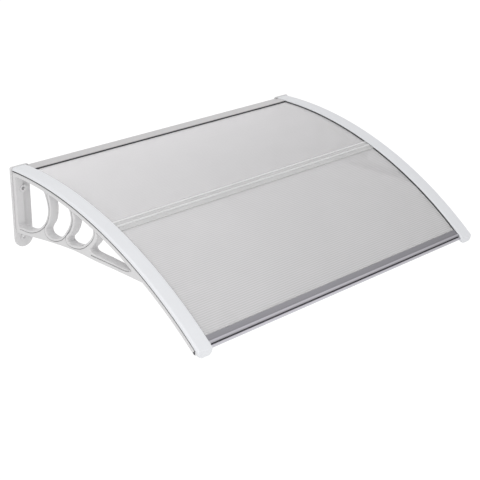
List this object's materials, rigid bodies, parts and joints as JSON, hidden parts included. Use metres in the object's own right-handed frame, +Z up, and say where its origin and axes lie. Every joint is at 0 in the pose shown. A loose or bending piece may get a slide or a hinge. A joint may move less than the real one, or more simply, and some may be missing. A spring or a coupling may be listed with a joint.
{
  "type": "door canopy",
  "caption": "Curved twin-wall door canopy on two moulded wall brackets, with side cover trims, wall bar and gutter bar.",
  "frame": {"origin": "on the wall plane, midway between the brackets, where the sheet's top arc meets the wall", "axes": "+X across the width to the right as seen from the front, +Y into the wall, +Z up"},
  "size_m": [1.008, 0.7452, 0.2469],
  "materials": {
    "white_plastic": "satin moulded",
    "bar_aluminium": "satin anodised",
    "clear_sheet": "clear twin-wall, lightly hazed",
    "clear_profile": "clear extruded",
    "black_rubber": "matt",
    "screw_steel": "zinc plated"
  },
  "bodies": {
    "root": {"right_bracket": "white_plastic", "left_bracket": "white_plastic", "right_side_trim": "white_plastic", "left_side_trim": "white_plastic", "rear_bar": "bar_aluminium", "front_bar": "bar_aluminium", "rear_sheet": "clear_sheet", "front_sheet": "clear_sheet", "joint_profile": "clear_profile", "rear_seal": "black_rubber", "right_rear_side_seal": "black_rubber", "left_rear_side_seal": "black_rubber", "right_front_side_seal": "black_rubber", "left_front_side_seal": "black_rubber", "right_edge_seal": "black_rubber", "left_edge_seal": "black_rubber", "right_clamp_screw_1": "screw_steel", "left_clamp_screw_1": "screw_steel", "right_clamp_screw_2": "screw_steel", "left_clamp_screw_2": "screw_steel", "right_clamp_screw_3": "screw_steel", "left_clamp_screw_3": "screw_steel", "right_clamp_screw_4": "screw_steel", "left_clamp_screw_4": "screw_steel", "right_clamp_screw_5": "screw_steel", "left_clamp_screw_5": "screw_steel", "right_tip_screw": "screw_steel", "left_tip_screw": "screw_steel"}
  },
  "joints": []
}
